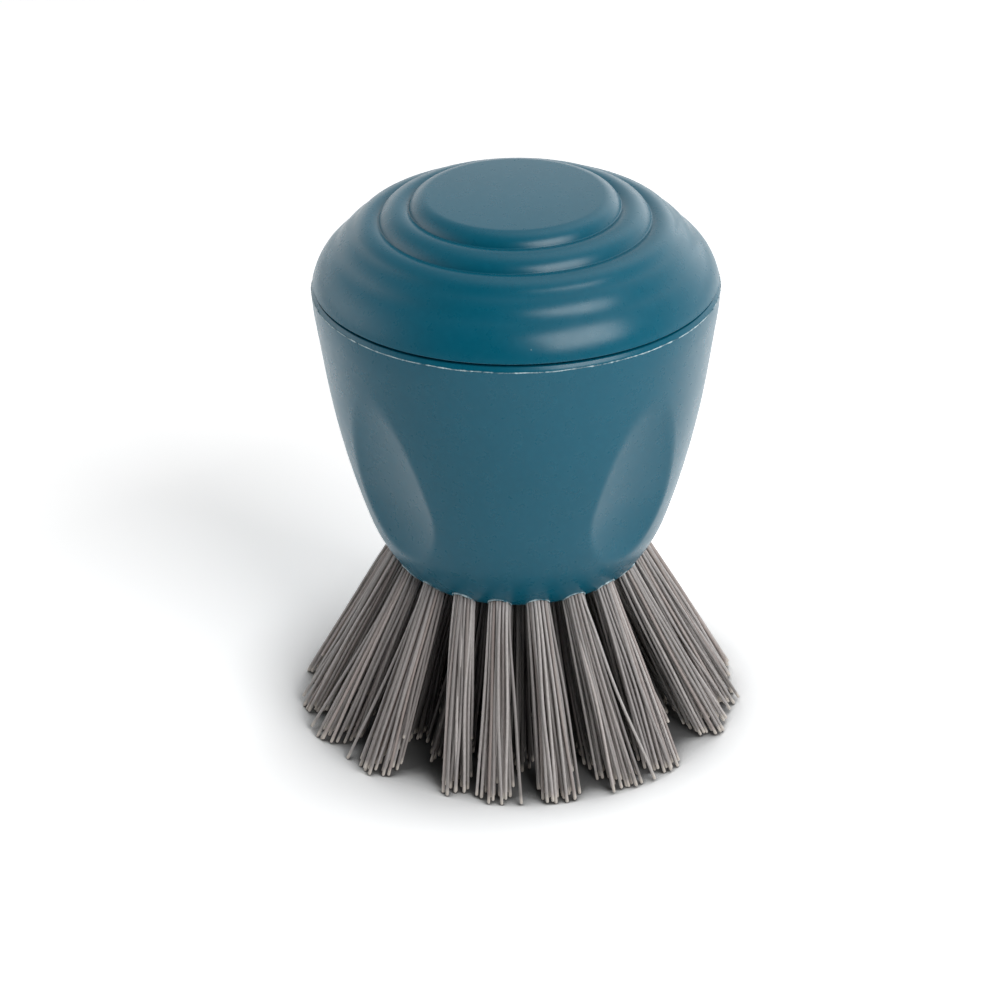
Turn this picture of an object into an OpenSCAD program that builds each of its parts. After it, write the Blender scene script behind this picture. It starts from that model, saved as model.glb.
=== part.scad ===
// Palm brush: a round plastic handle with a rippled press-in cap, and bristle
// tufts stapled into blind holes of its thick convex bottom.
// It stands on its bristle tips at z = 0, with its front towards -Y.
// Leans are degrees off the vertical, slopes are degrees off the horizontal.

/* [Handle body] */
// Outer radius of the body at its rim
rim_r = 35.25; // [34:0.05:37]
// Chamfer round the rim
rim_chamfer = 0.4; // [0.2:0.1:0.8]
// Radius of the curve that starts the wall under the rim
shoulder_r = 36; // [25:1:60]
// Lean of the straight part of the wall
wall_lean = 8.5; // [7:0.1:10]
// Height of the straight part of the wall
wall_h = 10; // [7:0.1:13]
// Radius of the long curve of the wall
belly_r = 157; // [135:1:180]
// Lean of the wall where the long curve ends
belly_lean = 19; // [17:0.1:21]
// Radius of the lower curve of the wall
lower_r = 28; // [26:0.5:32]
// Lean of the wall where the bottom edge starts
lower_lean = 40; // [37:0.5:43]
// Radius of the rounded edge round the bottom
edge_r = 3; // [2:0.1:4]
// Lean of the edge where the bottom dome starts
edge_lean = 68; // [65:0.5:71]
// Thickness of the bottom, which holds the tufts
bottom_t = 12; // [11:0.1:14]
// Thickness of the wall round the mouth, under the rim
mouth_t = 3.65; // [3.4:0.05:4.2]

/* [Finger scoops] */
// Number of finger scoops round the body
scoop_count = 4; // [3:1:5]
// Drop from the rim to the pointed top of a scoop
scoop_drop = 12.3; // [10:0.1:15]
// Lean of the floor of a scoop
scoop_lean = 17.1; // [16:0.1:18]
// Length of the straight part of the floor
scoop_straight = 20.4; // [17:0.1:23]
// Radius of the curve that ends the floor at the bottom
scoop_end_r = 41; // [32:1:48]
// Radius of the hollow across a scoop
scoop_dish_r = 50; // [49:1:80]
// Wall left between a scoop and the cavity
scoop_wall = 1.8; // [1.4:0.1:2.4]

/* [Cap] */
// Step in from the body's rim to the foot of the cap
cap_inset = 0.25; // [0:0.05:0.5]
// Height of the shadow gap between the rim and the cap
seam_gap = 0.5; // [0.3:0.05:0.8]
// Depth of the shadow gap
seam_depth = 1.7; // [1.2:0.1:2]
// Radius of the skirt's curve
skirt_r = 10.1; // [9.5:0.1:10.7]
// Slope at the foot of the skirt
skirt_foot_slope = 78; // [76:1:80]
// Slope in the soft lower valley, above the skirt
lower_valley_slope = 40; // [38:1:42]
// Radius of the lower valley
lower_valley_r = 7.9; // [7:0.1:8.8]
// Steepest slope of the outer ripple, between the two valleys
outer_ripple_slope = 54; // [52:1:56]
// Radius of the outer ripple
outer_ripple_r = 7.6; // [7:0.1:8.2]
// Slope in the soft upper valley
upper_valley_slope = 36.5; // [35:0.5:38]
// Radius of the upper valley
upper_valley_r = 6.8; // [6:0.1:7.6]
// Steepest slope of the middle ripple
middle_ripple_slope = 50; // [48:1:52]
// Radius of the middle ripple
middle_ripple_r = 3.8; // [3.5:0.05:4.1]
// Rise of the middle ripple out of its groove
middle_ripple_rise = 19; // [16:1:22]
// Radius of the inner ripple
inner_ripple_r = 3.9; // [3.6:0.05:4.2]
// Slope of the inner ripple at the groove below it
inner_ripple_slope = 70; // [66:1:74]
// Rise of the inner ripple out of its groove
inner_ripple_rise = 23; // [20:1:26]
// Radius of the rounded edge of the top disc
disc_edge_r = 3.35; // [3:0.05:3.7]
// Slope of the disc's edge at the groove round it
disc_edge_slope = 71; // [68:1:74]
// Thickness of the cap
cap_t = 2.4; // [1.8:0.1:2.8]

/* [Cap fastening] */
// Play between the cap's plug and the mouth of the body
plug_play = 0.15; // [0.1:0.01:0.3]
// Thickness of the plug
plug_t = 2; // [1.6:0.1:2.4]
// Depth of the plug in the mouth
plug_h = 8; // [7:0.1:10]
// Drop from the rim to the middle of the snap bead
bead_drop = 5; // [3.5:0.1:5.5]
// Height of the snap bead off the plug
bead_out = 0.55; // [0.4:0.05:0.8]
// Width of the snap bead at its tip
bead_w = 0.6; // [0.4:0.1:1]

/* [Tuft holes] */
// Diameter of a tuft hole
hole_d = 4.1; // [3.8:0.05:4.4]
// Depth of a tuft hole along its axis
hole_depth = 9.5; // [8:0.1:10]
// Number of tufts in the outer ring
outer_count = 20; // [16:1:20]
// Radius of the outer ring of holes
outer_r = 21.1; // [20.6:0.05:21.5]
// Lean of the outer tufts
outer_lean = 27; // [24:0.5:29]
// Turn of the outer ring off the front
outer_turn = -7; // [-9:0.5:9]
// Number of tufts in the middle ring
middle_count = 14; // [11:1:14]
// Radius of the middle ring of holes
middle_r = 14.8; // [14.4:0.1:15.1]
// Lean of the middle tufts
middle_lean = 23; // [21:0.5:24]
// Number of tufts in the inner ring
inner_count = 8; // [6:1:8]
// Radius of the inner ring of holes
inner_r = 8.4; // [8:0.1:8.8]
// Lean of the inner tufts
inner_lean = 12.5; // [11.5:0.5:14]

/* [Bristles] */
// Height of the bottom of the body above the ground
bristle_h = 24.9; // [20:0.1:30]
// Number of bristle strands in a tuft
strand_count = 9; // [8:1:11]
// Radius of a three-sided strand, to its corners
strand_r = 0.33; // [0.25:0.01:0.34]
// Radius of the strands' pattern where they leave the hole
root_spread = 1.5; // [1.45:0.01:1.55]
// Radius of the strands' pattern on the ground
tip_spread = 3; // [2.4:0.1:3.4]
// Play between the folded root of a tuft and its hole
root_play = 0.05; // [0.03:0.01:0.1]
// Depth that is trimmed flat off the strands on the ground
tip_trim = 0.5; // [0.3:0.1:0.8]

/* [Staples] */
// Thickness of a staple plate
staple_t = 0.45; // [0.3:0.05:0.6]
// Height of a staple plate
staple_h = 2.4; // [2:0.1:3]
// Play between a staple and its tuft or its hole
staple_play = 0.05; // [0.03:0.01:0.1]

/* [Hidden] */
$fa = 2;
$fs = 0.4;
plastic = [0.05, 0.31, 0.39];
bristle = [0.56, 0.54, 0.52];
steel = [0.75, 0.76, 0.78];
// Run of a cut beyond the surface that it leaves
over = 3;
// Gap between a curve of an outline and the chords that draw it
chord_gap = 0.02;
// Length by which a strand runs into the root that it is fused to
root_in = 0.8;
// Slope of the cap's inner face under the ripples
cap_inner_slope = 35;

// A radius at an angle off straight up, as [radius, height]
function polar(r, a) = r * [sin(a), cos(a)];

// Wall of the body from the rim down, as [radius, height] below the rim
shoulder_c = [rim_r - shoulder_r, 0];
wall_top = shoulder_c + polar(shoulder_r, 90 + wall_lean);
wall_end = wall_top - wall_h * [tan(wall_lean), 1];
belly_c = wall_end - polar(belly_r, 90 + wall_lean);
belly_end = belly_c + polar(belly_r, 90 + belly_lean);
lower_c = belly_end - polar(lower_r, 90 + belly_lean);
lower_end = lower_c + polar(lower_r, 90 + lower_lean);
edge_c = lower_end - polar(edge_r, 90 + lower_lean);
edge_end = edge_c + polar(edge_r, 90 + edge_lean);
dome_r = edge_end[0] / cos(edge_lean);
dome_c = [0, edge_end[1] + dome_r * sin(edge_lean)];

// The rim is this high above the ground
rim_z = bristle_h + dome_r - dome_c[1];
mouth_r = rim_r - mouth_t;

// Outline of the cap from its foot up, as [radius, height] above the ground
foot = [rim_r - cap_inset, rim_z + seam_gap];
skirt_c = foot - polar(skirt_r, skirt_foot_slope);
skirt_top = skirt_c + polar(skirt_r, lower_valley_slope);
lower_valley_c = skirt_top + polar(lower_valley_r, lower_valley_slope);
lower_valley_top = lower_valley_c - polar(lower_valley_r, outer_ripple_slope);
outer_ripple_c = lower_valley_top - polar(outer_ripple_r, outer_ripple_slope);
outer_ripple_top = outer_ripple_c + polar(outer_ripple_r, upper_valley_slope);
upper_valley_c = outer_ripple_top + polar(upper_valley_r, upper_valley_slope);
upper_valley_top = upper_valley_c - polar(upper_valley_r, middle_ripple_slope);
middle_ripple_c = upper_valley_top - polar(middle_ripple_r, middle_ripple_slope);
outer_groove = middle_ripple_c + polar(middle_ripple_r, -middle_ripple_rise);
inner_ripple_c = outer_groove - polar(inner_ripple_r, inner_ripple_slope);
inner_groove = inner_ripple_c + polar(inner_ripple_r, -inner_ripple_rise);
disc_c = inner_groove - polar(disc_edge_r, disc_edge_slope);
cap_top = disc_c[1] + disc_edge_r;
plug_out_r = mouth_r - plug_play;
plug_in_r = plug_out_r - plug_t;

// Top point of a scoop, on the straight part of the wall
scoop_top = wall_top - (scoop_drop + wall_top[1]) * [tan(wall_lean), 1];

// Name of a numbered piece, with two digits
function numbered(name, k) = str(name, k < 10 ? "0" : "", k);

// Points of an arc round c between two angles off straight up, hollow where
// its radius is negative
function arc(c, r, from, to) =
    let (steps = ceil(abs(to - from) / (2 * acos(1 - chord_gap / abs(r)))))
    [for (i = [0:steps]) c + polar(r, from + (to - from) * i / steps)];

module body_outline() {
    polygon(concat(
        [[0, 0], [rim_r - rim_chamfer, 0]],
        arc(shoulder_c, shoulder_r, 90 + asin(2 * rim_chamfer / shoulder_r), 90 + wall_lean),
        arc(belly_c, belly_r, 90 + wall_lean, 90 + belly_lean),
        arc(lower_c, lower_r, 90 + belly_lean, 90 + lower_lean),
        arc(edge_c, edge_r, 90 + lower_lean, 90 + edge_lean),
        arc(dome_c, dome_r, 90 + edge_lean, 180)
    ));
}

// Cavity under the cap, with a dished floor and a wall parallel to the scoops
module cavity_outline() {
    lean_r = scoop_top[0] - scoop_wall / cos(scoop_lean);
    low = dome_c[1] - dome_r;
    intersection() {
        polygon([
            [0, over],
            [mouth_r, over],
            [mouth_r, scoop_top[1] - (lean_r - mouth_r) / tan(scoop_lean)],
            [lean_r - (scoop_top[1] - low) * tan(scoop_lean), low],
            [0, low]
        ]);
        polygon(concat([[0, over], [rim_r, over]], arc(dome_c, dome_r - bottom_t, 100, 180)));
    }
}

// Snap bead off the plug, or its groove where it has play
function bead(play) = [
    [plug_out_r, -bead_drop - bead_w / 2 - bead_out - play],
    [plug_out_r + bead_out + play, -bead_drop - bead_w / 2 - play / 2],
    [plug_out_r + bead_out + play, -bead_drop + bead_w / 2 + play / 2],
    [plug_out_r, -bead_drop + bead_w / 2 + bead_out + play]
];

// Cutter of a finger scoop: a leaning drum with a rounded lower end
module scoop_cutter() {
    translate([scoop_top[0], 0, scoop_top[1]])
        rotate([0, scoop_lean, 0])
            translate([scoop_dish_r, 0, 0])
                rotate_extrude()
                    polygon(concat(
                        [[0, 2 * over], [scoop_dish_r, 2 * over]],
                        arc([scoop_dish_r - scoop_end_r, -scoop_straight], scoop_end_r, 90, 150),
                        [[0, -scoop_straight - scoop_end_r * cos(30)]]
                    ));
}

// Height of the bottom dome at a radius
function mouth_z(r) = rim_z + dome_c[1] - sqrt(dome_r * dome_r - r * r);

// Puts its children at the mouth of a hole, with their +Z into the body
module at_mouth(r, lean) {
    translate([0, -r, mouth_z(r)])
        rotate([-lean, 0, 0])
            children();
}

// Repeats its children round the axis
module ring(count, turn = 0) {
    for (k = [1:count])
        rotate(turn + k * 360 / count)
            children();
}

module tuft_hole(r, lean) {
    at_mouth(r, lean)
        translate([0, 0, -over])
            cylinder(d = hole_d, h = hole_depth + over);
}

module handle_body() {
    color(plastic)
        difference() {
            translate([0, 0, rim_z]) {
                difference() {
                    rotate_extrude()
                        difference() {
                            body_outline();
                            cavity_outline();
                            polygon(bead(plug_play));
                        }
                    for (k = [1:scoop_count])
                        rotate((k - 0.5) * 360 / scoop_count)
                            scoop_cutter();
                }
            }
            ring(outer_count, outer_turn)
                tuft_hole(outer_r, outer_lean);
            ring(middle_count)
                tuft_hole(middle_r, middle_lean);
            ring(inner_count)
                tuft_hole(inner_r, inner_lean);
            tuft_hole(0, 0);
        }
}

// Outer face of the cap, from its foot to the axis
cap_face = concat(
    arc(skirt_c, skirt_r, skirt_foot_slope, lower_valley_slope),
    arc(lower_valley_c, -lower_valley_r, lower_valley_slope, outer_ripple_slope),
    arc(outer_ripple_c, outer_ripple_r, outer_ripple_slope, upper_valley_slope),
    arc(upper_valley_c, -upper_valley_r, upper_valley_slope, middle_ripple_slope),
    arc(middle_ripple_c, middle_ripple_r, middle_ripple_slope, -middle_ripple_rise),
    arc(inner_ripple_c, inner_ripple_r, inner_ripple_slope, -inner_ripple_rise),
    arc(disc_c, disc_edge_r, disc_edge_slope, 0),
    [[0, cap_top]]
);

// Inner face of the cap, from the axis down to the end of the plug
valley_in = upper_valley_top - polar(cap_t, middle_ripple_slope);
cap_hollow = [
    [0, cap_top - cap_t],
    [disc_c[0], cap_top - cap_t],
    inner_groove - polar(cap_t, cap_inner_slope),
    outer_groove - polar(cap_t, cap_inner_slope),
    valley_in,
    [plug_in_r, valley_in[1] - (plug_in_r - valley_in[0])],
    [plug_in_r, rim_z - plug_h]
];

// Outside of the plug with its snap bead, and the seat on the rim
cap_seat = concat(
    [[plug_out_r, rim_z - plug_h]],
    [for (p = bead(0)) p + [0, rim_z]],
    [[plug_out_r, rim_z], [rim_r - seam_depth, rim_z], [rim_r - seam_depth, foot[1]]]
);

module cap() {
    color(plastic)
        rotate_extrude()
            polygon(concat(cap_face, cap_hollow, cap_seat));
}

// Three-sided strand between two points, with corners in level planes
module strand(from, to) {
    corners = [for (a = [90, 210, 330]) strand_r * [cos(a), sin(a), 0]];
    polyhedron(
        points = concat([for (c = corners) from + c], [for (c = corners) to + c]),
        faces = concat(
            [[0, 2, 1], [3, 4, 5]],
            [for (i = [0:2]) [i, (i + 1) % 3, (i + 1) % 3 + 3]],
            [for (i = [0:2]) [i, (i + 1) % 3 + 3, i + 3]]
        )
    );
}

// Place k of a spiral that fills a unit circle evenly
function spiral(k) = sqrt((k + 0.5) / strand_count) * [cos(137.5 * k), sin(137.5 * k)];

// One tuft at the front: its folded root in the hole, and its strands
module tuft(r, lean) {
    mouth = [0, -r, mouth_z(r)];
    along = [0, -sin(lean), -cos(lean)];
    across = [0, -cos(lean), sin(lean)];
    foot_at = mouth + along * (mouth[2] + tip_trim) / cos(lean);
    color(bristle)
        difference() {
            union() {
                at_mouth(r, lean)
                    difference() {
                        cylinder(r = hole_d / 2 - root_play, h = hole_depth - root_play, $fn = 8);
                        translate([-hole_d / 2, -staple_t / 2 - staple_play, hole_depth - staple_h - staple_play])
                            cube([hole_d, staple_t + 2 * staple_play, staple_h + over]);
                    }
                for (k = [0:strand_count - 1])
                    strand(
                        mouth - along * root_in + root_spread * (spiral(k)[0] * [1, 0, 0] + spiral(k)[1] * across),
                        foot_at + tip_spread * [spiral(k)[0], -spiral(k)[1], 0]
                    );
            }
            translate(foot_at - [2 * tip_spread, 2 * tip_spread, over])
                cube([4 * tip_spread, 4 * tip_spread, over + tip_trim]);
        }
}

// One staple plate at the front, against the end of its hole
module staple(r, lean) {
    at_mouth(r, lean)
        translate([staple_play - hole_d / 2, -staple_t / 2, hole_depth - staple_h])
            cube([hole_d - 2 * staple_play, staple_t, staple_h]);
}

module tuft_outer(k) {
    rotate(outer_turn + k * 360 / outer_count)
        tuft(outer_r, outer_lean);
}

module tuft_middle(k) {
    rotate(k * 360 / middle_count)
        tuft(middle_r, middle_lean);
}

module tuft_inner(k) {
    rotate(k * 360 / inner_count)
        tuft(inner_r, inner_lean);
}

module tuft_centre() {
    tuft(0, 0);
}

module staples_outer() {
    color(steel)
        ring(outer_count, outer_turn)
            staple(outer_r, outer_lean);
}

module staples_middle() {
    color(steel)
        ring(middle_count)
            staple(middle_r, middle_lean);
}

module staples_inner() {
    color(steel)
        ring(inner_count)
            staple(inner_r, inner_lean);
}

module staple_centre() {
    color(steel)
        staple(0, 0);
}

handle_body();
cap();
for (k = [1:outer_count])
    tuft_outer(k);
for (k = [1:middle_count])
    tuft_middle(k);
for (k = [1:inner_count])
    tuft_inner(k);
tuft_centre();
staples_outer();
staples_middle();
staples_inner();
staple_centre();
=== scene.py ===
import math

import bmesh
import bpy
import numpy as np
from mathutils import Matrix, Vector
from mathutils.geometry import delaunay_2d_cdt


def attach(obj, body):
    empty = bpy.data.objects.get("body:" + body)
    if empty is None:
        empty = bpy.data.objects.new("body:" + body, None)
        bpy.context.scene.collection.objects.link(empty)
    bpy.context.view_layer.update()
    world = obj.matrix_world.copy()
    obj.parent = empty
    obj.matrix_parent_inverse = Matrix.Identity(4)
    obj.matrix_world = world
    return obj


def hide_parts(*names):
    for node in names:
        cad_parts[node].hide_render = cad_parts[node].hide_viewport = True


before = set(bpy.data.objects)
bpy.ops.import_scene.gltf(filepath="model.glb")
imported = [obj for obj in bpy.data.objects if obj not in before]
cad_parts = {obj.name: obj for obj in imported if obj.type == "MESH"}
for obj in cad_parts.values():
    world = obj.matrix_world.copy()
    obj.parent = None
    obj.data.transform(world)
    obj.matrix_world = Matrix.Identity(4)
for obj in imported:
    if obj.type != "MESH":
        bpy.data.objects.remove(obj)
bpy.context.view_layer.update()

MM = 0.001
rng = np.random.default_rng(20)
# Points round the body and the cap, and round a hole
COLUMNS, HOLE_SIDES = 720, 48
# Steps of a search by halves
HALVINGS = 34
# Height of a triangle with sides of 1
HEX_ROW = 0.866

# ---------------------------------------------------------------- sizes, in mm
RIM_R, CHAMFER, LIP_DROP, MOUTH_T = 35.25, 0.4, 0.86, 3.65
SHOULDER_R, WALL_LEAN, WALL_H = 36.0, 8.5, 10.0
BELLY_R, BELLY_LEAN = 157.0, 19.0
LOWER_R, LOWER_LEAN = 28.0, 40.0
EDGE_R, EDGE_LEAN, BOTTOM_T = 3.0, 68.0, 12.0
SCOOP_DROP, SCOOP_LEAN, SCOOP_STRAIGHT = 12.3, 17.1, 20.4
SCOOP_END_R, SCOOP_DISH_R, SCOOP_WALL = 41.0, 50.0, 1.8
SCOOP_ROUND = 0.35
CAP_INSET, SEAM_GAP, SEAM_DEPTH, CAP_T = 0.25, 0.5, 1.7, 2.4
SKIRT_R, SKIRT_SLOPE = 10.1, 78.0
LOW_VALLEY_R, LOW_VALLEY_SLOPE = 7.9, 40.0
OUTER_RIPPLE_R, OUTER_RIPPLE_SLOPE = 7.6, 54.0
HIGH_VALLEY_R, HIGH_VALLEY_SLOPE = 6.8, 36.5
MIDDLE_RIPPLE_R, MIDDLE_RIPPLE_SLOPE, MIDDLE_RIPPLE_RISE = 3.8, 50.0, 19.0
INNER_RIPPLE_R, INNER_RIPPLE_SLOPE, INNER_RIPPLE_RISE = 3.9, 70.0, 23.0
DISC_R, DISC_SLOPE, DISC_CROWN = 3.35, 71.0, 0.2
PLUG_PLAY, PLUG_T, PLUG_H = 0.15, 2.0, 8.0
BEAD_DROP, BEAD_OUT, BEAD_W = 5.0, 0.55, 0.6
CAP_INNER_SLOPE = 35.0
HOLE_R, BRISTLE_H = 2.05, 24.9
# Radius inside which the underside is meshed in plan
DOME_RIM = 24.5
FILAMENT_R, FILAMENT_SIDES, FILAMENT_ROWS = 0.285, 7, 10
# How deep filaments start in their hole, how far apart they are there and at the ground,
# and how many times wider the tufts inside the outer ring spread
ROOT_DEPTH, ROOT_PITCH, TIP_PITCH, INNER_SPREAD = 2.4, 0.575, (1.2, 1.42), 1.25
# Tips that hang aside in the photo, as [to the side, outwards] across the tuft
SWAY = {
    "tuft_outer_19": (5.1, -1.6),
    "tuft_outer_20": (1.8, 0.0),
    "tuft_outer_02": (1.5, 0.0),
    "tuft_outer_03": (-1.2, 0.0),
    "tuft_outer_04": (3.0, 0.0),
    "tuft_outer_05": (1.6, 0.0),
}
# Farthest that a filament reaches from the axis
REACH = 40.1
# Each ring of tufts: count, radius, lean, and the last tuft's angle off the front
RINGS = {
    "outer": (20, 21.1, 27.0, -7.0),
    "middle": (14, 14.8, 23.0, 0.0),
    "inner": (8, 8.4, 12.5, 0.0),
}


def polar(r, a):
    return np.array([r * math.sin(math.radians(a)), r * math.cos(math.radians(a))])


def arc(c, r, start, end, step):
    n = max(2, math.ceil(abs(math.radians(end - start) * r) / step))
    return [c + polar(r, start + (end - start) * i / n) for i in range(n + 1)]


# Wall of the body from the rim down, as [radius, height] below the rim
shoulder_c = np.array([RIM_R - SHOULDER_R, 0.0])
wall_top = shoulder_c + polar(SHOULDER_R, 90 + WALL_LEAN)
wall_end = wall_top - WALL_H * np.array([math.tan(math.radians(WALL_LEAN)), 1.0])
belly_c = wall_end - polar(BELLY_R, 90 + WALL_LEAN)
belly_end = belly_c + polar(BELLY_R, 90 + BELLY_LEAN)
lower_c = belly_end - polar(LOWER_R, 90 + BELLY_LEAN)
lower_end = lower_c + polar(LOWER_R, 90 + LOWER_LEAN)
edge_c = lower_end - polar(EDGE_R, 90 + LOWER_LEAN)
edge_end = edge_c + polar(EDGE_R, 90 + EDGE_LEAN)
dome_r = edge_end[0] / math.cos(math.radians(EDGE_LEAN))
dome_h = edge_end[1] + dome_r * math.sin(math.radians(EDGE_LEAN))
rim_z = BRISTLE_H + dome_r - dome_h
mouth_r = RIM_R - MOUTH_T
scoop_top = wall_top - (SCOOP_DROP + wall_top[1]) * np.array([math.tan(math.radians(WALL_LEAN)), 1.0])


def outer_z(r):
    """Height of the body's underside at a radius, below the rim, for the lower part of the wall."""
    dome = dome_h - np.sqrt(np.maximum(dome_r ** 2 - r ** 2, 0))
    edge = edge_c[1] - np.sqrt(np.maximum(EDGE_R ** 2 - (r - edge_c[0]) ** 2, 0))
    lower = lower_c[1] - np.sqrt(np.maximum(LOWER_R ** 2 - (r - lower_c[0]) ** 2, 0))
    return np.where(r < edge_end[0], dome, np.where(r < lower_end[0], edge, lower))


def mouth_z(r):
    """Height of the middle of a hole's mouth above the ground."""
    return rim_z + dome_h - math.sqrt(dome_r ** 2 - r ** 2)


# ---------------------------------------------------------------- materials
def linear(r, g, b):
    def one(v):
        v = v / 255
        return v / 12.92 if v <= 0.04045 else ((v + 0.055) / 1.055) ** 2.4
    return (one(r), one(g), one(b), 1.0)


class Graph:
    """Short way to build the node tree of a material or a world."""

    def __init__(self, owner):
        self.owner = owner
        owner.use_nodes = True
        self.tree = owner.node_tree
        self.tree.nodes.clear()

    def node(self, kind, inputs=None, **settings):
        made = self.tree.nodes.new(kind)
        for key, value in settings.items():
            setattr(made, key, value)
        for key, value in (inputs or {}).items():
            if hasattr(value, "is_output"):
                self.tree.links.new(value, made.inputs[key])
            else:
                made.inputs[key].default_value = value
        return made

    def mix(self, factor, a, b):
        return self.node("ShaderNodeMix", {0: factor, 6: a, 7: b}, data_type="RGBA").outputs[2]

    def ramp(self, value, *stops):
        made = self.node("ShaderNodeValToRGB", {0: value})
        ramp = made.color_ramp
        while len(ramp.elements) < len(stops):
            ramp.elements.new(0.5)
        for element, (place, colour) in zip(ramp.elements, stops):
            element.position = place
            element.color = colour
        return made.outputs[0]

    def noise(self, vector, scale, detail=2.0, rough=0.5):
        inputs = {"Vector": vector, "Scale": scale, "Detail": detail, "Roughness": rough}
        return self.node("ShaderNodeTexNoise", inputs).outputs["Fac"]

    def bump(self, strength, distance, height, **inputs):
        inputs.update({"Strength": strength, "Distance": distance, "Height": height})
        return self.node("ShaderNodeBump", inputs).outputs[0]

    def math(self, kind, a, b=0.0):
        return self.node("ShaderNodeMath", {0: a, 1: b}, operation=kind).outputs[0]

    def principled(self, **inputs):
        """Ends a material with a Principled shader, its inputs named with _ for a space."""
        shader = self.node("ShaderNodeBsdfPrincipled", {k.replace("_", " "): v for k, v in inputs.items()})
        return self.finish(shader.outputs[0])

    def finish(self, shader):
        self.node("ShaderNodeOutputMaterial", {"Surface": shader})
        return self.owner


def material_graph(name):
    """A new material's graph, and its object coordinates."""
    g = Graph(bpy.data.materials.new(name))
    return g, g.node("ShaderNodeTexCoord").outputs["Object"]


def grey(v):
    return (v, v, v, 1)


def plastic_material():
    g, where = material_graph("teal_plastic")
    cloud = g.noise(where, 45, 3, 0.55)
    base = g.mix(g.ramp(cloud, (0.32, grey(0)), (0.7, grey(1))), linear(0, 94, 117), linear(2, 98, 122))
    mottle = g.noise(where, 900, 2, 0.6)
    base = g.mix(g.ramp(mottle, (0.45, grey(0)), (0.75, grey(0.25))), base, linear(14, 108, 132))
    # Sparse dust specks
    spots = g.node("ShaderNodeTexVoronoi", {"Vector": where, "Scale": 240.0, "Randomness": 1.0})
    chance = g.node("ShaderNodeSeparateColor", {0: spots.outputs["Color"]})
    near = g.math("LESS_THAN", spots.outputs["Distance"], 0.035)
    rare = g.math("GREATER_THAN", chance.outputs[0], 0.86)
    speck = g.math("MULTIPLY", g.math("MULTIPLY", near, rare), 0.55)
    base = g.mix(speck, base, linear(150, 180, 188))
    # Fine grain of the mould, and broad waves of the wall
    fine = g.bump(0.09, 0.00003, g.noise(where, 1700, 1, 0.5))
    broad = g.bump(0.10, 0.0001, g.noise(where, 160, 2, 0.5), Normal=fine)
    rough = g.ramp(g.noise(where, 420, 3, 0.6), (0.3, grey(0.26)), (0.75, grey(0.32)))
    return g.principled(Base_Color=base, Roughness=rough, Normal=broad, IOR=1.5, Specular_IOR_Level=0.44)


def flash_material():
    """Thin flash of the mould, whitened where it is stretched."""
    g, where = material_graph("flash_plastic")
    patch = g.noise(where, 520, 3, 0.7)
    base = g.mix(g.ramp(patch, (0.36, grey(0)), (0.56, grey(1))), linear(30, 98, 118), linear(196, 218, 224))
    return g.principled(Base_Color=base, Roughness=0.5, Normal=g.bump(0.3, 0.00005, g.noise(where, 3000)))


def bristle_material():
    """Grey nylon. The attribute "strand" has the place along a filament and its two random draws."""
    g, where = material_graph("nylon_bristle")
    strand = g.node("ShaderNodeAttribute", attribute_name="strand")
    parts = g.node("ShaderNodeSeparateColor", {0: strand.outputs["Color"]})
    along, chance, tone = parts.outputs
    stretched = g.node("ShaderNodeMapping", {"Vector": where, "Scale": (1.0, 1.0, 0.09)}).outputs[0]
    streak = g.noise(stretched, 2600, 3, 0.65)
    base = g.ramp(
        chance,
        (0.0, linear(148, 143, 141)), (0.3, linear(172, 167, 165)),
        (0.7, linear(188, 183, 181)), (1.0, linear(210, 204, 201)),
    )
    base = g.mix(g.ramp(tone, (0.75, grey(0)), (1.0, grey(0.3))), base, linear(190, 162, 150))
    base = g.mix(g.ramp(streak, (0.3, grey(0.3)), (0.6, grey(0))), base, linear(132, 124, 119))
    # Painted shade: darker deep between the tufts, by how far in it is from the cone of the outer tufts'
    # middles
    cone_foot, cone_slope, depth = 0.036, 0.51, 0.008
    flat = g.node("ShaderNodeMapping", {"Vector": where, "Scale": (1.0, 1.0, 0.0)}).outputs[0]
    out = g.node("ShaderNodeVectorMath", {0: flat}, operation="LENGTH").outputs["Value"]
    height = g.node("ShaderNodeSeparateXYZ", {0: where}).outputs[2]
    leaned = g.math("ADD", out, g.math("MULTIPLY", height, cone_slope))
    inward = g.math("MULTIPLY", g.math("SUBTRACT", cone_foot, leaned), 1 / depth)
    shade = g.ramp(inward, (0.1, grey(0)), (0.35, grey(0.3)), (0.9, grey(0.8)))
    base = g.mix(shade, base, linear(58, 55, 53))
    tip = g.ramp(along, (0.965, grey(0)), (0.99, grey(0.8)))
    base = g.mix(tip, base, linear(222, 214, 204))
    bump = g.bump(0.12, 0.00003, streak)
    rough = g.ramp(g.noise(stretched, 1400, 2), (0.3, grey(0.34)), (0.7, grey(0.5)))
    return g.principled(Base_Color=base, Roughness=rough, Normal=bump, IOR=1.53, Specular_IOR_Level=0.5)


def steel_material():
    g, where = material_graph("staple_steel")
    brushed = g.node("ShaderNodeMapping", {"Vector": where, "Scale": (1.0, 1.0, 0.05)}).outputs[0]
    lines = g.noise(brushed, 9000, 3, 0.6)
    base = g.mix(g.ramp(lines, (0.3, grey(0)), (0.7, grey(1))), linear(150, 152, 156), linear(196, 198, 202))
    rough = g.ramp(lines, (0.2, grey(0.25)), (0.8, grey(0.4)))
    return g.principled(Base_Color=base, Metallic=1.0, Roughness=rough, Normal=g.bump(0.2, 0.00001, lines))


PLASTIC = plastic_material()
FLASH = flash_material()
BRISTLE = bristle_material()
STEEL = steel_material()


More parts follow.
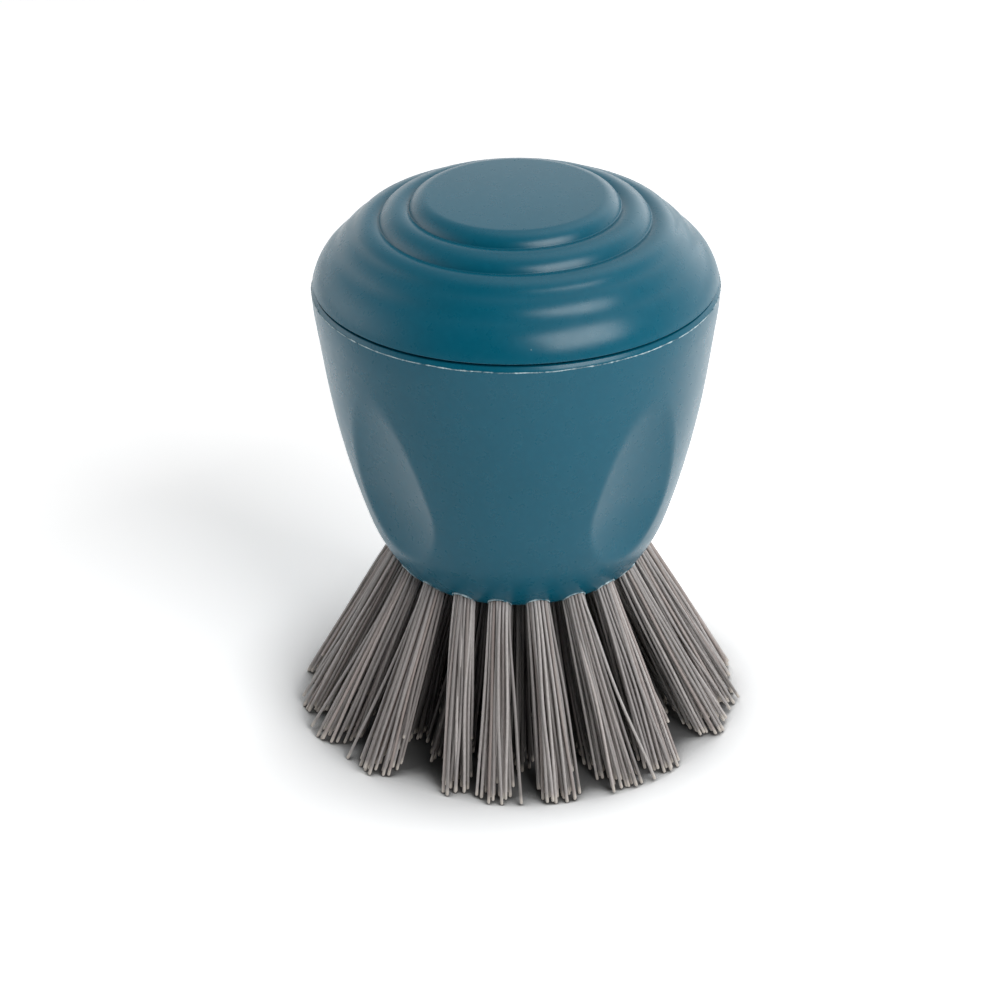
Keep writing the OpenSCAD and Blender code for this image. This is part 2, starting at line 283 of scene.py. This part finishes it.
# ---------------------------------------------------------------- meshes
def add_piece(name, points, faces, material, nodes=(), strand=None):
    """Makes a piece from points in mm. Its faces' normals are turned outwards."""
    mesh = bpy.data.meshes.new(name)
    mesh.from_pydata((np.asarray(points) * MM).tolist(), [], faces)
    mesh.polygons.foreach_set("use_smooth", np.ones(len(mesh.polygons), bool))
    if strand is not None:
        layer = mesh.attributes.new("strand", "FLOAT_COLOR", "POINT")
        layer.data.foreach_set("color", np.asarray(strand, np.float32).ravel())
    mesh.materials.append(material)
    made = bmesh.new()
    made.from_mesh(mesh)
    bmesh.ops.recalc_face_normals(made, faces=made.faces)
    made.to_mesh(mesh)
    made.free()
    piece = bpy.data.objects.new(name, mesh)
    bpy.context.scene.collection.objects.link(piece)
    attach(piece, "root")
    for node in nodes:
        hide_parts(node)


def around(count, first=0):
    """Each point of a ring with the next one, as pairs of indices."""
    return [(first + j, first + (j + 1) % count) for j in range(count)]


def grid_faces(rows, columns, first=0, wrap_rows=False):
    """Quads of a grid of points that goes round once in each row."""
    count = rows if wrap_rows else rows - 1
    i, j = np.meshgrid(np.arange(count), np.arange(columns), indexing="ij")
    a = i * columns + j
    b = i * columns + (j + 1) % columns
    down = ((i + 1) % rows) * columns
    c = down + (j + 1) % columns
    d = down + j
    return (np.stack([a, b, c, d], -1).reshape(-1, 4) + first).tolist()


def spin(profile, columns):
    """Points of a profile [radius, height] turned round the axis, row by row, clockwise from above."""
    angle = -2 * math.pi * np.arange(columns) / columns
    profile = np.asarray(profile)
    x = profile[:, :1] * np.cos(angle)
    y = profile[:, :1] * np.sin(angle)
    z = np.repeat(profile[:, 1:], columns, 1)
    return np.stack([x, y, z], -1)


def close_poles(points, faces, columns, first_pole, last_pole):
    """Adds a centre point to the first row and to the last row of a grid where these are given."""
    count = len(points)
    if first_pole is not None:
        points.append(first_pole)
        faces.extend([[len(points) - 1, b, a] for a, b in around(columns)])
    if last_pole is not None:
        points.append(last_pole)
        faces.extend([[len(points) - 1, a, b] for a, b in around(columns, count - columns)])


def scoop_floor(angle, height, wall):
    """Radius at which a level ray from the axis meets the nearest finger scoop's hollow."""
    quarter = math.pi / 2
    off = (angle % quarter) - quarter / 2
    lean = math.radians(SCOOP_LEAN)
    low, high = np.full(np.shape(off), 15.0), wall + 3.0

    def beyond(r):
        dx = r * np.cos(off) - scoop_top[0]
        dz = height - scoop_top[1]
        x = dx * math.cos(lean) - dz * math.sin(lean)
        z = dx * math.sin(lean) + dz * math.cos(lean)
        drop = np.maximum(-SCOOP_STRAIGHT - z, 0)
        drum = SCOOP_DISH_R - SCOOP_END_R + np.sqrt(np.maximum(SCOOP_END_R ** 2 - drop ** 2, 0))
        return np.hypot(x - SCOOP_DISH_R, r * np.sin(off)) - drum

    for _ in range(HALVINGS):
        middle = (low + high) / 2
        solid = beyond(middle) > 0
        low = np.where(solid, middle, low)
        high = np.where(solid, high, middle)
    return (low + high) / 2


def smooth_min(a, b, k):
    h = np.clip(0.5 + 0.5 * (b - a) / k, 0, 1)
    return b + (a - b) * h - k * h * (1 - h)


def hole_frames():
    """Every tuft: node name, mouth, direction into the body, level side, third side, ring name."""
    made = []
    for ring, (count, r, lean, turn) in RINGS.items():
        for k in range(1, count + 1):
            made.append((f"tuft_{ring}_{k:02d}", r, lean, turn + k * 360 / count, ring))
    made.append(("tuft_centre", 0.0, 0.0, 0.0, "centre"))
    frames = []
    for name, r, lean, turn, ring in made:
        spun = np.array(Matrix.Rotation(math.radians(turn), 3, "Z"))
        s, c = math.sin(math.radians(lean)), math.cos(math.radians(lean))
        mouth = spun @ np.array([0, -r, mouth_z(r)])
        into = spun @ np.array([0, s, c])
        side = spun @ np.array([1, 0, 0])
        out = spun @ np.array([0, -c, s])
        frames.append((name, mouth, into, side, out, ring))
    return frames


HOLES = hole_frames()


def surface_along(start, into):
    """How far along a hole's direction each start point meets the body's underside."""
    low, high = np.full(len(start), -4.0), np.full(len(start), 5.0)
    for _ in range(HALVINGS):
        middle = (low + high) / 2
        at = start + middle[:, None] * into
        inside = at[:, 2] - rim_z > outer_z(np.hypot(at[:, 0], at[:, 1]))
        high = np.where(inside, middle, high)
        low = np.where(inside, low, middle)
    return (low + high) / 2


def hole_rim(mouth, into, side, out, radius, angles):
    start = mouth + radius * (np.cos(angles)[:, None] * side + np.sin(angles)[:, None] * out)
    return start + surface_along(start, into)[:, None] * into


def wall_profile():
    """Outer wall from the mouth over the rim down to where the underside begins, below the rim."""
    edge = RIM_R - CHAMFER
    wall = [[mouth_r, 0], [mouth_r + 0.05, 0], [RIM_R - SEAM_DEPTH, 0], [edge - 0.12, 0],
            [edge - 0.03, -0.02], [edge + 0.03, -0.1]]
    wall += [[edge + 0.05 + 0.34 * t, -0.14 - 0.62 * t] for t in (0.15, 0.5, 0.85)]
    top = 90 + math.degrees(math.asin(LIP_DROP / SHOULDER_R))
    last = 90 + math.degrees(math.acos((DOME_RIM - lower_c[0]) / LOWER_R))
    curve = arc(shoulder_c, SHOULDER_R, top, 90 + WALL_LEAN, 0.5)
    curve += [wall_top + (wall_end - wall_top) * t for t in np.linspace(0, 1, 40)[1:-1]]
    curve += arc(belly_c, BELLY_R, 90 + WALL_LEAN, 90 + BELLY_LEAN, 0.26)
    curve += arc(lower_c, LOWER_R, 90 + BELLY_LEAN, last, 0.26)[1:]
    return np.array(wall + [list(p) for p in curve])


def cavity_profile():
    """Cavity from its floor's middle up to the mouth, below the rim."""
    lean_r = scoop_top[0] - SCOOP_WALL / math.cos(math.radians(SCOOP_LEAN))
    slope = math.tan(math.radians(SCOOP_LEAN))
    inner_r = dome_r - BOTTOM_T

    def floor_h(r):
        return dome_h - math.sqrt(inner_r ** 2 - r ** 2)

    # The floor meets the leaning wall at this radius
    meet = 24.0
    for _ in range(60):
        meet = 0.5 * meet + 0.5 * (lean_r - (scoop_top[1] - floor_h(meet)) * slope)
    floor = [[r, floor_h(r)] for r in np.linspace(1.0, 24.0, 12)]
    floor = [p for p in floor if p[0] < meet - 0.5] + [[meet, floor_h(meet)]]
    # The bead's groove. Its slopes start at the plug, so the mouth's wall meets them part of the way
    groove = mouth_r + BEAD_OUT
    part = PLUG_PLAY / (BEAD_OUT + PLUG_PLAY)
    low_edge = -BEAD_DROP - BEAD_W / 2 - BEAD_OUT - PLUG_PLAY
    high_edge = -BEAD_DROP + BEAD_W / 2 + BEAD_OUT + PLUG_PLAY
    low_deep = -BEAD_DROP - BEAD_W / 2 - PLUG_PLAY / 2
    high_deep = -BEAD_DROP + BEAD_W / 2 + PLUG_PLAY / 2
    return floor + [
        [mouth_r, scoop_top[1] - (lean_r - mouth_r) / slope],
        [mouth_r, low_edge + (low_deep - low_edge) * part],
        [groove, low_deep], [groove, high_deep],
        [mouth_r, high_edge + (high_deep - high_edge) * part],
    ]


def inside_loop(loop, point):
    """Whether a point in plan lies inside a convex loop, whichever way it goes round."""
    ahead = np.roll(loop, -1, 0) - loop
    turn = ahead[:, 0] * (point[1] - loop[:, 1]) - ahead[:, 1] * (point[0] - loop[:, 0])
    return bool((turn > 0).all() or (turn < 0).all())


def underside_fill(loops):
    """Points in plan that fill the underside between the holes' loops."""
    ring_step, grid_step, margin = 0.28, 0.7, 0.16
    extra = []
    # Close rings towards the wall, and a wider grid inside them
    for r in np.arange(DOME_RIM - ring_step, 19.6, -ring_step):
        count = int(2 * math.pi * r / 0.36)
        a = 2 * math.pi * (np.arange(count) + rng.random()) / count
        extra.append(np.stack([r * np.cos(a), r * np.sin(a)], -1))
    for i in range(-30, 31):
        for j in range(-34, 35):
            x, y = (i + 0.5 * (j % 2)) * grid_step, j * grid_step * HEX_ROW
            if math.hypot(x, y) < 19.4:
                extra.append(np.array([[x, y]]))
    extra = np.concatenate(extra)
    keep = np.ones(len(extra), bool)
    for centre, far, loop in loops:
        gap = np.hypot(extra[:, None, 0] - loop[None, :, 0], extra[:, None, 1] - loop[None, :, 1]).min(1)
        keep &= gap > margin
        for index in np.where(np.hypot(*(extra - centre).T) < far)[0]:
            keep[index] &= not inside_loop(loop, extra[index])
    return extra[keep]


def add_underside(points, faces, base, rims):
    """Meshes the underside in plan, from the wall's last ring, which starts at the index base,
    to the rims of the holes. Returns the index where these start."""
    first_rim = len(points)
    loops = []
    plan = [Vector((p[0], p[1])) for p in points[base:base + COLUMNS]]
    edges = around(COLUMNS)
    for rim in rims:
        start = len(plan)
        plan += [Vector((p[0], p[1])) for p in rim]
        edges += around(HOLE_SIDES, start)
        centre = rim.mean(0)[:2]
        loops.append((centre, np.hypot(*(rim[:, :2] - centre).T).max(), rim[:, :2]))
    plan += [Vector((float(x), float(y))) for x, y in underside_fill(loops)]
    flat_points, _, triangles, origin, _, _ = delaunay_2d_cdt(plan, edges, [], 0, 1e-6, True)
    known = COLUMNS + len(rims) * HOLE_SIDES
    index_of = {}
    points.extend(np.concatenate(rims).tolist())
    for new, sources in enumerate(origin):
        real = [s for s in sources if s < known]
        if real:
            index_of[new] = base + real[0] if real[0] < COLUMNS else first_rim + real[0] - COLUMNS
        else:
            p = flat_points[new]
            points.append([p.x, p.y, rim_z + float(outer_z(np.array(math.hypot(p.x, p.y))))])
            index_of[new] = len(points) - 1
    for triangle in triangles:
        corner = np.array([[flat_points[v].x, flat_points[v].y] for v in triangle])
        middle = corner.mean(0)
        close = [loop for centre, far, loop in loops if math.hypot(*(middle - centre)) < far]
        if any(inside_loop(loop, middle) for loop in close):
            continue
        area = np.cross(corner[1] - corner[0], corner[2] - corner[0])
        order = triangle if area < 0 else triangle[::-1]
        faces.append([index_of[v] for v in order])
    return first_rim


def add_blind_end(points, faces, start, rim, mouth, into):
    """Walls and end of a hole, hidden in its tuft. Its rim's points start at the index start."""
    previous = start
    for depth in (0.15, 3.2):
        push = rim + depth * into
        centre = mouth + ((push - mouth) @ into)[:, None] * into
        push = centre + (push - centre) * ((HOLE_R - 0.03) / HOLE_R)
        here = len(points)
        points.extend(push.tolist())
        faces.extend([[previous + a, previous + b, here + b, here + a] for a, b in around(HOLE_SIDES)])
        previous = here
    points.append((mouth + 3.4 * into).tolist())
    faces.extend([[len(points) - 1, a, b] for a, b in around(HOLE_SIDES, previous)])


def build_body():
    wall = wall_profile()
    outer = spin(wall, COLUMNS)
    angle = np.arctan2(outer[..., 1], outer[..., 0])
    radius = np.hypot(outer[..., 0], outer[..., 1])
    cut = smooth_min(radius, scoop_floor(angle, outer[..., 2], radius), SCOOP_ROUND)
    # The scoops begin well below the rim
    plain = wall[:, 1] > -5
    cut[plain] = radius[plain]
    outer[..., 0] *= cut / radius
    outer[..., 1] *= cut / radius
    inside = cavity_profile()
    shell = np.concatenate([spin(inside, COLUMNS), outer]).reshape(-1, 3)
    shell[:, 2] += rim_z
    points = shell.tolist()
    faces = grid_faces(len(inside) + len(wall), COLUMNS)
    close_poles(points, faces, COLUMNS, [0, 0, rim_z + dome_h - (dome_r - BOTTOM_T)], None)
    turn = 2 * math.pi * np.arange(HOLE_SIDES) / HOLE_SIDES
    rims = [hole_rim(mouth, into, side, out, HOLE_R, turn) for _, mouth, into, side, out, _ in HOLES]
    first_rim = add_underside(points, faces, len(shell) - COLUMNS, rims)
    for number, (_, mouth, into, _, _, _) in enumerate(HOLES):
        add_blind_end(points, faces, first_rim + number * HOLE_SIDES, rims[number], mouth, into)
    add_piece("handle_shell", points, faces, PLASTIC, ["handle_body"])


def valley(c, r, start, end, count):
    """Hollow arc between two slopes, without its first point."""
    return [c - polar(r, a) for a in np.linspace(start, end, count)[1:]]


def build_cap():
    foot = np.array([RIM_R - CAP_INSET, SEAM_GAP])
    skirt_c = foot - polar(SKIRT_R, SKIRT_SLOPE)
    skirt_top = skirt_c + polar(SKIRT_R, LOW_VALLEY_SLOPE)
    low_c = skirt_top + polar(LOW_VALLEY_R, LOW_VALLEY_SLOPE)
    low_top = low_c - polar(LOW_VALLEY_R, OUTER_RIPPLE_SLOPE)
    outer_c = low_top - polar(OUTER_RIPPLE_R, OUTER_RIPPLE_SLOPE)
    outer_top = outer_c + polar(OUTER_RIPPLE_R, HIGH_VALLEY_SLOPE)
    high_c = outer_top + polar(HIGH_VALLEY_R, HIGH_VALLEY_SLOPE)
    high_top = high_c - polar(HIGH_VALLEY_R, MIDDLE_RIPPLE_SLOPE)
    middle_c = high_top - polar(MIDDLE_RIPPLE_R, MIDDLE_RIPPLE_SLOPE)
    outer_groove = middle_c + polar(MIDDLE_RIPPLE_R, -MIDDLE_RIPPLE_RISE)
    inner_c = outer_groove - polar(INNER_RIPPLE_R, INNER_RIPPLE_SLOPE)
    inner_groove = inner_c + polar(INNER_RIPPLE_R, -INNER_RIPPLE_RISE)
    disc_c = inner_groove - polar(DISC_R, DISC_SLOPE)
    top = disc_c[1] + DISC_R
    fine = 0.22
    face = arc(skirt_c, SKIRT_R, SKIRT_SLOPE, LOW_VALLEY_SLOPE, fine)
    face += valley(low_c, LOW_VALLEY_R, LOW_VALLEY_SLOPE, OUTER_RIPPLE_SLOPE, 10)
    face += arc(outer_c, OUTER_RIPPLE_R, OUTER_RIPPLE_SLOPE, HIGH_VALLEY_SLOPE, fine)[1:]
    face += valley(high_c, HIGH_VALLEY_R, HIGH_VALLEY_SLOPE, MIDDLE_RIPPLE_SLOPE, 9)
    face += arc(middle_c, MIDDLE_RIPPLE_R, MIDDLE_RIPPLE_SLOPE, -MIDDLE_RIPPLE_RISE, fine)[1:]
    face += arc(inner_c, INNER_RIPPLE_R, INNER_RIPPLE_SLOPE, -INNER_RIPPLE_RISE, fine)[1:]
    face += arc(disc_c, DISC_R, DISC_SLOPE, 0, fine)[1:]
    crown = [[disc_c[0] * t, top + DISC_CROWN * (1 - t * t)] for t in np.linspace(1, 0, 24)[1:-1]]
    face = np.array([list(p) for p in face] + crown)
    plug_out = mouth_r - PLUG_PLAY
    plug_in = plug_out - PLUG_T
    valley_in = high_top - polar(CAP_T, MIDDLE_RIPPLE_SLOPE)
    hollow = [
        [0.5, top - CAP_T],
        [disc_c[0], top - CAP_T],
        list(inner_groove - polar(CAP_T, CAP_INNER_SLOPE)),
        list(outer_groove - polar(CAP_T, CAP_INNER_SLOPE)),
        list(valley_in),
        [plug_in, valley_in[1] - (plug_in - valley_in[0])],
        [plug_in, -PLUG_H],
        [plug_out, -PLUG_H],
        [plug_out, -BEAD_DROP - BEAD_W / 2 - BEAD_OUT],
        [plug_out + BEAD_OUT, -BEAD_DROP - BEAD_W / 2],
        [plug_out + BEAD_OUT, -BEAD_DROP + BEAD_W / 2],
        [plug_out, -BEAD_DROP + BEAD_W / 2 + BEAD_OUT],
        [plug_out, 0], [RIM_R - SEAM_DEPTH, 0], [RIM_R - SEAM_DEPTH, SEAM_GAP],
        [foot[0] - 0.3, SEAM_GAP], [foot[0] - 0.12, SEAM_GAP], [foot[0] - 0.03, SEAM_GAP + 0.04],
    ]
    face[0] = [foot[0], SEAM_GAP + 0.12]
    rows = np.array(hollow + face.tolist())
    points = spin(rows, COLUMNS).reshape(-1, 3)
    points[:, 2] += rim_z
    points = points.tolist()
    faces = grid_faces(len(rows), COLUMNS)
    close_poles(points, faces, COLUMNS, [0, 0, rim_z + top - CAP_T], [0, 0, rim_z + top + DISC_CROWN])
    add_piece("cap_shell", points, faces, PLASTIC, ["cap"])


def wander(count, waves, seed):
    """Smooth closed noise of about unit size round a circle."""
    draw = np.random.default_rng(seed)
    a = 2 * math.pi * np.arange(count) / count
    total = np.zeros(count)
    for wave in waves:
        total += draw.normal() * np.sin(wave * a + draw.random() * 7) / math.sqrt(len(waves))
    return total


def build_rim_flash():
    """Thin ragged flash round the body's rim, under the lip."""
    count = 1800
    angle = 2 * math.pi * np.arange(count) / count
    rough = wander(count, range(90, 400, 7), 3)
    slow = wander(count, range(3, 30, 3), 4)
    height = np.clip(0.05 + 0.05 * rough + 0.035 * slow, 0.012, 0.22)
    drop = -LIP_DROP + 0.03 * slow + 0.02 * wander(count, range(20, 90, 5), 5)
    width = np.clip(0.09 + 0.03 * wander(count, range(60, 300, 9), 6), 0.04, 0.2)
    section = []
    for radial, level in ((-0.12, 0.5), (0.35, 0.45), (1.0, 0.1), (0.4, -0.5), (-0.12, -0.55)):
        r = RIM_R + radial * height
        z = rim_z + drop + level * width * 2
        section.append(np.stack([r * np.cos(angle), r * np.sin(angle), z], -1))
    points = np.array(section)
    faces = grid_faces(len(section), count, wrap_rows=True)
    add_piece("rim_flash", points.reshape(-1, 3), faces, FLASH)


def build_hole_flash():
    """Ragged collars that the mould leaves at the outer holes."""
    points, faces = [], []
    draw = np.random.default_rng(8)
    for _, mouth, into, side, out, ring in HOLES:
        if ring != "outer":
            continue
        count = 40
        span = math.radians(draw.uniform(95, 118))
        middle = math.pi / 2 + draw.uniform(-0.12, 0.12)
        turn = np.linspace(middle - span, middle + span, count)
        rim = hole_rim(mouth, into, side, out, HOLE_R + 0.015, turn)
        wide = hole_rim(mouth, into, side, out, HOLE_R + 0.2, turn)
        taper = np.sin(np.linspace(0.03, 0.97, count) * math.pi) ** 0.45
        ragged = np.interp(np.linspace(0, 1, count), np.linspace(0, 1, 14), draw.uniform(0.55, 1.15, 14))
        up = (0.26 * taper * ragged)[:, None]
        grow = (taper * ragged)[:, None]
        wide = rim + (wide - rim) * np.clip(grow, 0.15, 1)
        section = [
            rim + 0.06 * into, wide + 0.05 * into, wide - 0.5 * up * into,
            rim * 0.5 + wide * 0.5 - up * into, rim - 0.6 * up * into,
        ]
        rows = [len(points) + row * count for row in range(len(section))]
        points.extend(np.concatenate(section).tolist())
        for a, b in zip(rows, rows[1:] + rows[:1]):
            faces.extend([[a + j, a + j + 1, b + j + 1, b + j] for j in range(count - 1)])
        faces.append(rows)
        faces.append([row + count - 1 for row in reversed(rows)])
    add_piece("hole_flash", points, faces, FLASH)


def hexagon_places():
    """37 places of a filled hexagon pattern, one apart."""
    places = []
    for i in range(-3, 4):
        for j in range(-3, 4):
            if abs(i + j) <= 3:
                places.append((i + 0.5 * j, HEX_ROW * j))
    return np.array(places)


PLACES = hexagon_places()


def build_tuft(name, mouth, into, side, out, ring, number):
    """37 round filaments from a hole to the ground, in place of the tuft's CAD form."""
    draw = np.random.default_rng(1000 + number)
    count = len(PLACES)
    spin_by = draw.uniform(0, 2 * math.pi)
    c, s = math.cos(spin_by), math.sin(spin_by)
    places = PLACES @ np.array([[c, -s], [s, c]])
    places = places + draw.normal(0, 0.07, places.shape)
    size = np.hypot(*places.T)
    places *= (np.minimum(size, 3.0) / np.maximum(size, 1e-6))[:, None]
    root = places * ROOT_PITCH
    # Tips: spread out, drawn into a few clumps, with a few strays
    clumps = draw.normal(0, 1.5, (4, 2))
    nearest = np.argmin(((places[:, None] - clumps[None]) ** 2).sum(-1), 1)
    pull = draw.uniform(0.08, 0.3)
    tips = places * (1 - pull) + clumps[nearest] * pull
    tips = tips * draw.uniform(*TIP_PITCH) + draw.normal(0, 0.32, tips.shape)
    if ring == "outer":
        stray = draw.choice(count, 3, replace=False)
        tips[stray] += np.stack([draw.normal(0, 1.2, 3), np.abs(draw.normal(0, 2.0, 3))], -1)
        tips += np.array(SWAY.get(name, (draw.normal(0, 0.7), draw.normal(0, 0.3))))
    else:
        tips *= INNER_SPREAD
    axis = -into
    length = mouth[2] / -axis[2]
    # Heights of the ends: most just above the ground, up to five on it, and up to two cut short
    lift = np.abs(draw.normal(0, 0.42, count)) + 0.02
    lift[draw.integers(0, count, 5)] = 0.02
    short = draw.integers(0, count, 2)
    lift[short] += draw.uniform(0.5, 7.0, 2) * (draw.random(2) < 0.5)
    t = np.linspace(0, 1, FILAMENT_ROWS)
    bow = draw.normal(0, 0.22, (count, 2)) + draw.normal(0, 0.12, 2)
    wave = draw.normal(0, 0.07, (count, 2))
    grow = (t ** 1.12)[None, :, None]
    offset = root[:, None] * (1 - grow) + tips[:, None] * grow
    offset = offset + bow[:, None] * np.sin(math.pi * t)[None, :, None] * 0.9
    offset = offset + wave[:, None] * np.sin(2.6 * math.pi * t)[None, :, None]
    run = -ROOT_DEPTH + (length + ROOT_DEPTH) * t
    centre = mouth + run[None, :, None] * axis + offset[..., :1] * side + offset[..., 1:] * out
    # Cut each filament at its own height above the ground
    last, before = centre[:, -1], centre[:, -2]
    slope = (last - before) / np.linalg.norm(last - before, axis=1)[:, None]
    end = last + slope * ((lift + FILAMENT_R - last[:, 2]) / slope[:, 2])[:, None]
    far = np.hypot(end[:, 0], end[:, 1])
    end[:, :2] *= (np.minimum(far, REACH - FILAMENT_R) / np.maximum(far, 1e-6))[:, None]
    shift = end - last
    centre = centre + shift[:, None] * (t ** 3)[None, :, None]
    tangent = np.gradient(centre, axis=1)
    tangent /= np.linalg.norm(tangent, axis=-1, keepdims=True)
    u = np.cross(tangent, side)
    u /= np.linalg.norm(u, axis=-1, keepdims=True)
    v = np.cross(tangent, u)
    turn = 2 * math.pi * np.arange(FILAMENT_SIDES) / FILAMENT_SIDES
    radius = FILAMENT_R * draw.uniform(0.93, 1.04, count)[:, None]
    thick = np.repeat(radius, FILAMENT_ROWS, 1)
    # Rounded tip: three more rings past the end, and a point
    extra_at = [0.45, 0.8, 0.97]
    tip_c = [centre[:, -1] + tangent[:, -1] * radius * a for a in extra_at]
    tip_r = [radius[:, 0] * math.sqrt(1 - a * a) for a in extra_at]
    centre = np.concatenate([centre, np.stack(tip_c, 1)], 1)
    u = np.concatenate([u] + [u[:, -1:]] * 3, 1)
    v = np.concatenate([v] + [v[:, -1:]] * 3, 1)
    thick = np.concatenate([thick, np.stack(tip_r, 1)], 1)
    rows = FILAMENT_ROWS + 3
    across, aside = np.cos(turn)[None, None, :, None], np.sin(turn)[None, None, :, None]
    ringed = centre[:, :, None] + thick[:, :, None, None] * (across * u[:, :, None] + aside * v[:, :, None])
    along = np.concatenate([t, [1.0, 1.0, 1.0]])
    chance, tone = draw.random(count), draw.random(count)
    block = rows * FILAMENT_SIDES
    points = ringed.reshape(count, block, 3)
    ends = centre[:, -1] + tangent[:, -1] * radius * 0.03
    roots = centre[:, 0]
    points = np.concatenate([points, ends[:, None], roots[:, None]], 1).reshape(-1, 3)
    points[:, 2] = np.maximum(points[:, 2], 0.0)
    strand = np.zeros((count, block + 2, 4))
    strand[:, :block, 0] = np.repeat(along, FILAMENT_SIDES)[None]
    strand[:, block, 0] = 1.0
    strand[..., 1] = chance[:, None]
    strand[..., 2] = tone[:, None]
    strand[..., 3] = 1.0
    faces = []
    for first in range(0, len(points), block + 2):
        low = first + block - FILAMENT_SIDES
        faces += grid_faces(rows, FILAMENT_SIDES, first)
        faces += [[b, first + block, a] for a, b in around(FILAMENT_SIDES, low)]
        faces += [[a, first + block + 1, b] for a, b in around(FILAMENT_SIDES, first)]
    strand = strand.reshape(-1, 4)
    add_piece(name.replace("tuft", "bristles"), points, faces, BRISTLE, [name], strand)


# ---------------------------------------------------------------- camera
def build_camera():
    """The camera fitted to the photo."""
    pitch, yaw, roll, turn = (math.radians(a) for a in (27.892, -0.313, -0.769, 2.35))
    forward = Vector((math.sin(yaw) * math.cos(pitch), math.cos(yaw) * math.cos(pitch), -math.sin(pitch)))
    right = Vector((math.cos(yaw), -math.sin(yaw), 0))
    up = right.cross(forward)
    tilted_right = right * math.cos(roll) + up * math.sin(roll)
    tilted_up = -right * math.sin(roll) + up * math.cos(roll)
    matrix = Matrix((tilted_right, tilted_up, -forward)).transposed().to_4x4()
    matrix.translation = Vector((0, -0.5914, 0.3518))
    data = bpy.data.cameras.new("camera")
    data.lens = 135.64
    data.sensor_width = 36.0
    data.clip_start = 0.01
    data.clip_end = 30.0
    camera = bpy.data.objects.new("camera", data)
    camera.matrix_world = Matrix.Rotation(turn, 4, "Z") @ matrix
    bpy.context.scene.collection.objects.link(camera)
    bpy.context.scene.camera = camera


# ---------------------------------------------------------------- light, floor
def direction(azimuth, elevation):
    """Direction out of the object. Azimuth 0 is the front, 90 the right side."""
    a, e = math.radians(azimuth), math.radians(elevation)
    return Vector((math.sin(a) * math.cos(e), -math.cos(a) * math.cos(e), math.sin(e)))


def area_light(name, azimuth, elevation, distance, width, height, power):
    """Soft box that faces the object."""
    data = bpy.data.lights.new(name, "AREA")
    data.shape = "RECTANGLE"
    data.size, data.size_y = width, height
    data.energy = power
    light = bpy.data.objects.new(name, data)
    aim = Vector((0, 0, 0.05))
    light.location = direction(azimuth, elevation) * distance + aim
    light.rotation_euler = (aim - light.location).to_track_quat("-Z", "Y").to_euler()
    bpy.context.scene.collection.objects.link(light)


# Soft glows of the studio round the object: azimuth, elevation, sharpness, strength
GLOWS = [
    (158, 2, 11.0, 1.9),
    (203, 4, 10.0, 1.15),
    (258, 6, 7.0, 1.75),
    (116, 0, 8.0, 1.0),
    (142, 33, 16.0, 0.8),
    (140, 67, 9.0, 1.2),
]


def build_light():
    world = bpy.data.worlds.new("studio")
    g = Graph(world)
    towards = g.node("ShaderNodeTexCoord").outputs["Generated"]
    total = 0.0
    for azimuth, elevation, sharp, strength in GLOWS:
        inputs = {0: towards, 1: direction(azimuth, elevation)}
        dot = g.node("ShaderNodeVectorMath", inputs, operation="DOT_PRODUCT").outputs["Value"]
        glow = g.math("EXPONENT", g.math("MULTIPLY", g.math("SUBTRACT", dot, 1.0), sharp))
        total = g.math("ADD", g.math("MULTIPLY", glow, strength), total)
    background = g.node("ShaderNodeBackground", {"Color": grey(1), "Strength": total})
    g.node("ShaderNodeOutputWorld", {"Surface": background.outputs[0]})
    bpy.context.scene.world = world
    area_light("key", 43, 38, 0.75, 0.52, 0.40, 3.7)


def build_floor():
    """White floor. Only what the camera and gloss see of it is brighter than plain paper."""
    g, where = material_graph("floor_white")
    tint = g.mix(g.ramp(g.noise(where, 6, 3), (0.3, grey(0)), (0.7, grey(1))), grey(0.86), grey(0.875))
    path = g.node("ShaderNodeLightPath").outputs
    gloss = g.math("MAXIMUM", path["Is Glossy Ray"], path["Is Transmission Ray"])
    # The camera finds it burnt out to white, with a painted contact shadow that dims it close to the object
    open_sky = g.node("ShaderNodeAmbientOcclusion", {"Distance": 0.046}).outputs["AO"]
    close = g.ramp(open_sky, (0.42, grey(0.08)), (0.93, grey(1)))
    white = g.mix(close, grey(0), grey(1.64))
    # Painted light in reflections: gloss finds the floor brighter behind the object than in front
    depth = g.node("ShaderNodeSeparateXYZ", {0: where}).outputs[1]
    behind = g.ramp(g.math("ADD", g.math("MULTIPLY", depth, 3.3), 0.5), (0.45, grey(0)), (0.72, grey(1)))
    mirrored = g.mix(behind, grey(1), grey(1.7))
    shown = g.mix(path["Is Camera Ray"], g.mix(gloss, tint, mirrored), white)
    paper = g.node("ShaderNodeBsdfDiffuse", {"Color": shown})
    material = g.finish(paper.outputs[0])
    half = 4.0
    corners = [(-half, -half, 0), (half, -half, 0), (half, half, 0), (-half, half, 0)]
    mesh = bpy.data.meshes.new("floor")
    mesh.from_pydata(corners, [], [(0, 1, 2, 3)])
    mesh.materials.append(material)
    floor = bpy.data.objects.new("floor", mesh)
    bpy.context.scene.collection.objects.link(floor)


build_camera()
build_light()
build_floor()
build_body()
build_cap()
build_rim_flash()
build_hole_flash()
for number, (name, mouth, into, side, out, ring) in enumerate(HOLES):
    build_tuft(name, mouth, into, side, out, ring, number)
for name in ("staples_outer", "staples_middle", "staples_inner", "staple_centre"):
    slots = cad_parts[name].data.materials
    slots.clear()
    slots.append(STEEL)

bpy.context.scene.view_settings.view_transform = "Standard"
bpy.context.view_layer.update()
